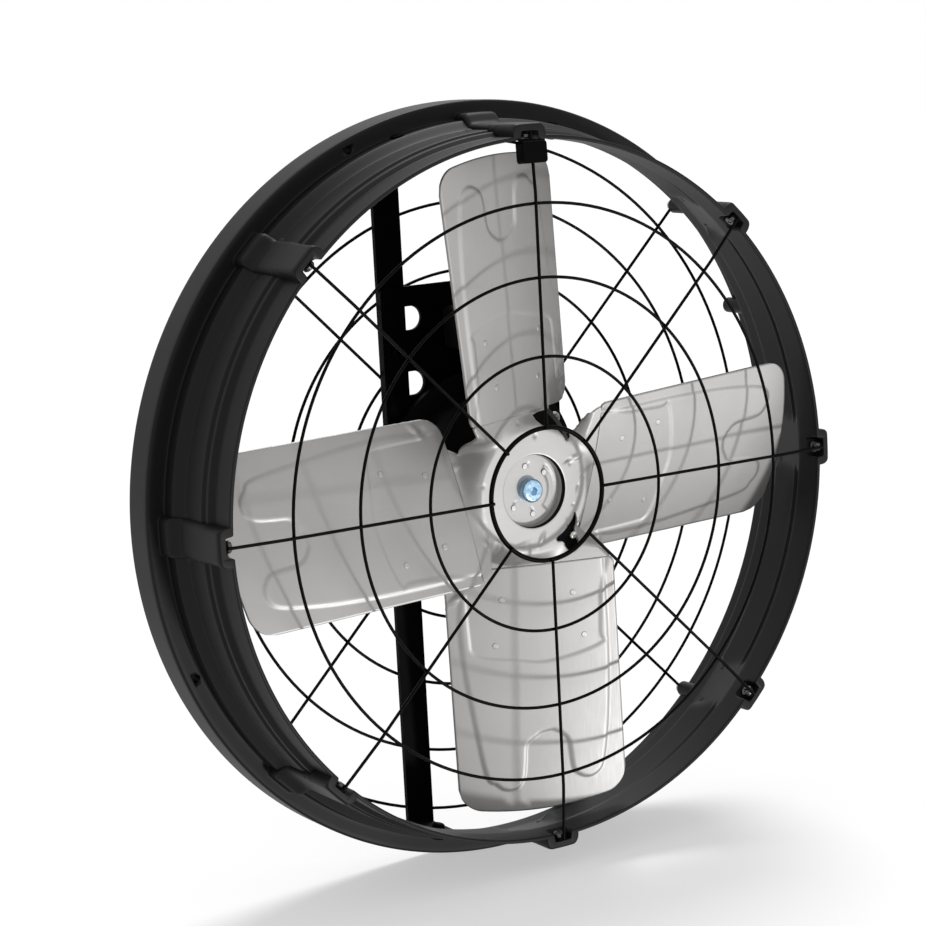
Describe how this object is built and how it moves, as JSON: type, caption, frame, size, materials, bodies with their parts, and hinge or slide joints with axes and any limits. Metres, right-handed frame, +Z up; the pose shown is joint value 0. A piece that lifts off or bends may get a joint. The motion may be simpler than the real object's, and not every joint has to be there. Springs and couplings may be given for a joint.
{
  "type": "wall mounted axial fan",
  "caption": "Wall mounted fan: black moulded duct ring with wire grilles, bars and plate carrying a motor, and a pressed aluminium impeller.",
  "frame": {"origin": "on the fan axis, in the plane of the rim's rear face where the fan meets the wall", "axes": "+Z up, +Y along the fan axis towards the wall, so the front grille faces -Y; +X to the right seen from the front"},
  "size_m": [0.577, 0.171, 0.577],
  "materials": {
    "ring_plastic": "moulded, fine satin grain",
    "grille_wire": "black powder coat",
    "black_steel": "black paint",
    "motor_casting": "black enamel on casting",
    "lamination": "stacked sheet",
    "winding": "varnished copper wire",
    "bearing_steel": "ground",
    "cast_hub": "die cast",
    "blade_aluminium": "rolled, satin",
    "rivet_aluminium": "plain",
    "zinc": "blue passivated zinc",
    "capacitor_case": "smooth",
    "gland_plastic": "smooth"
  },
  "bodies": {
    "frame": {"duct_ring": "ring_plastic", "front_grille_spokes": "grille_wire", "front_grille_rings": "grille_wire", "front_grille_outer_ring": "grille_wire", "front_grille_screws": "zinc", "grille_clip": "ring_plastic", "rear_grille_spokes": "grille_wire", "rear_grille_rings": "grille_wire", "rear_grille_third_ring": "grille_wire", "rear_grille_screws": "zinc", "support_bar_left": "black_steel", "support_bar_right": "black_steel", "bar_foot_rivets": "black_steel", "motor_plate": "black_steel", "plate_screws": "zinc", "plate_washers": "zinc", "plate_nuts": "zinc", "motor_screws": "zinc", "motor_front_shield": "motor_casting", "motor_housing": "motor_casting", "motor_rear_shield": "motor_casting", "motor_through_screws": "zinc", "stator_core": "lamination", "stator_coils": "winding", "bearing_outer_races": "bearing_steel", "bearing_balls": "bearing_steel", "run_capacitor": "capacitor_case", "capacitor_screw": "zinc", "capacitor_nut": "zinc", "cable_gland": "gland_plastic"},
    "impeller": {"bearing_inner_races": "bearing_steel", "rotor_core": "lamination", "motor_shaft": "bearing_steel", "shaft_key": "bearing_steel", "hub_bush": "cast_hub", "impeller_spider": "blade_aluminium", "hub_rivets": "rivet_aluminium", "hub_bolt": "zinc", "hub_washer": "zinc", "blade_1": "blade_aluminium", "blade_2": "blade_aluminium", "blade_3": "blade_aluminium", "blade_4": "blade_aluminium", "blade_rivets": "rivet_aluminium"}
  },
  "joints": [
    {"name": "impeller_spin", "type": "hinge", "parent": "frame", "child": "impeller", "pos_m": [0, 0, 0], "axis": [0, 1, 0], "continuous": true}
  ]
}
